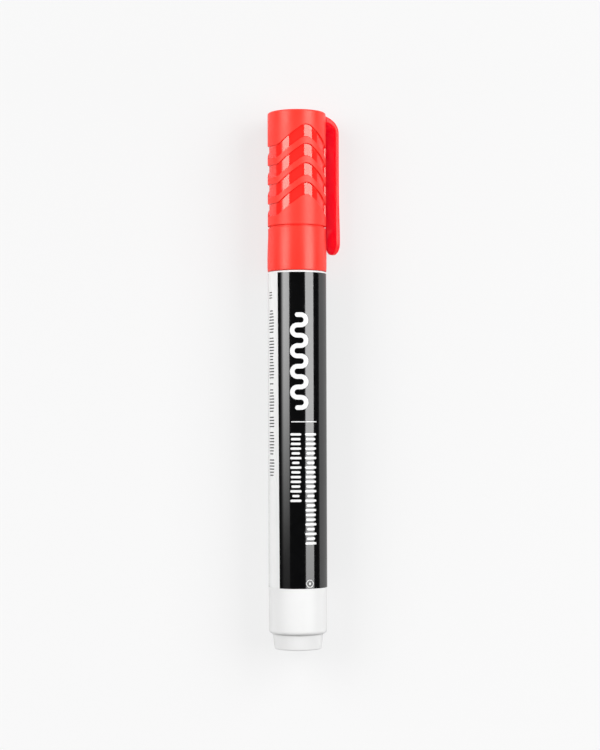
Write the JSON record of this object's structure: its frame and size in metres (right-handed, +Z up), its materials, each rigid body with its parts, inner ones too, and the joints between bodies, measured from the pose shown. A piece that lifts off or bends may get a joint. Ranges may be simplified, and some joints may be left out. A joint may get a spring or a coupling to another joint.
{
  "type": "whiteboard marker",
  "caption": "Capped whiteboard marker with a pull-off red cap, pocket clip, black wrap label, bullet nib and fibre ink reservoir, lying on its side.",
  "frame": {"origin": "centre of the bottom of the bounding box, on the surface that the marker lies on, halfway along its length", "axes": "+Y along the marker's axis towards the cap, +X towards the side that the pocket clip hangs on, +Z up from the surface"},
  "size_m": [0.0192, 0.14, 0.0156],
  "materials": {
    "cap_red": "satin moulded plastic with polished grip recesses",
    "white_plastic": "smooth moulded plastic",
    "label_black": "glossy printed film",
    "liner_plastic": "soft natural plastic",
    "nib_felt": "bonded fibre soaked with red ink",
    "reservoir_fibre": "fibre bundle soaked with red ink",
    "clear_film": "thin clear wrap"
  },
  "bodies": {
    "barrel": {"end_plug": "white_plastic", "barrel": "white_plastic", "wrap_label": "label_black", "nib_holder": "white_plastic", "bullet_nib": "nib_felt", "ink_reservoir": "reservoir_fibre", "reservoir_film": "clear_film"},
    "cap": {"cap_shell": "cap_red", "inner_cap": "liner_plastic"},
    "clip": {"pocket_clip": "cap_red"}
  },
  "joints": [
    {"name": "cap_pull", "type": "slide", "parent": "barrel", "child": "cap", "axis": [0, 1, 0], "range_m": [0, 0.045]},
    {"name": "clip_flex", "type": "hinge", "parent": "cap", "child": "clip", "pos_m": [0.00496, 0.0694, 0.00422], "axis": [0.4679, 0, 0.8838], "range_deg": [0, 6], "stiffness_Nm_per_rad": 1}
  ]
}
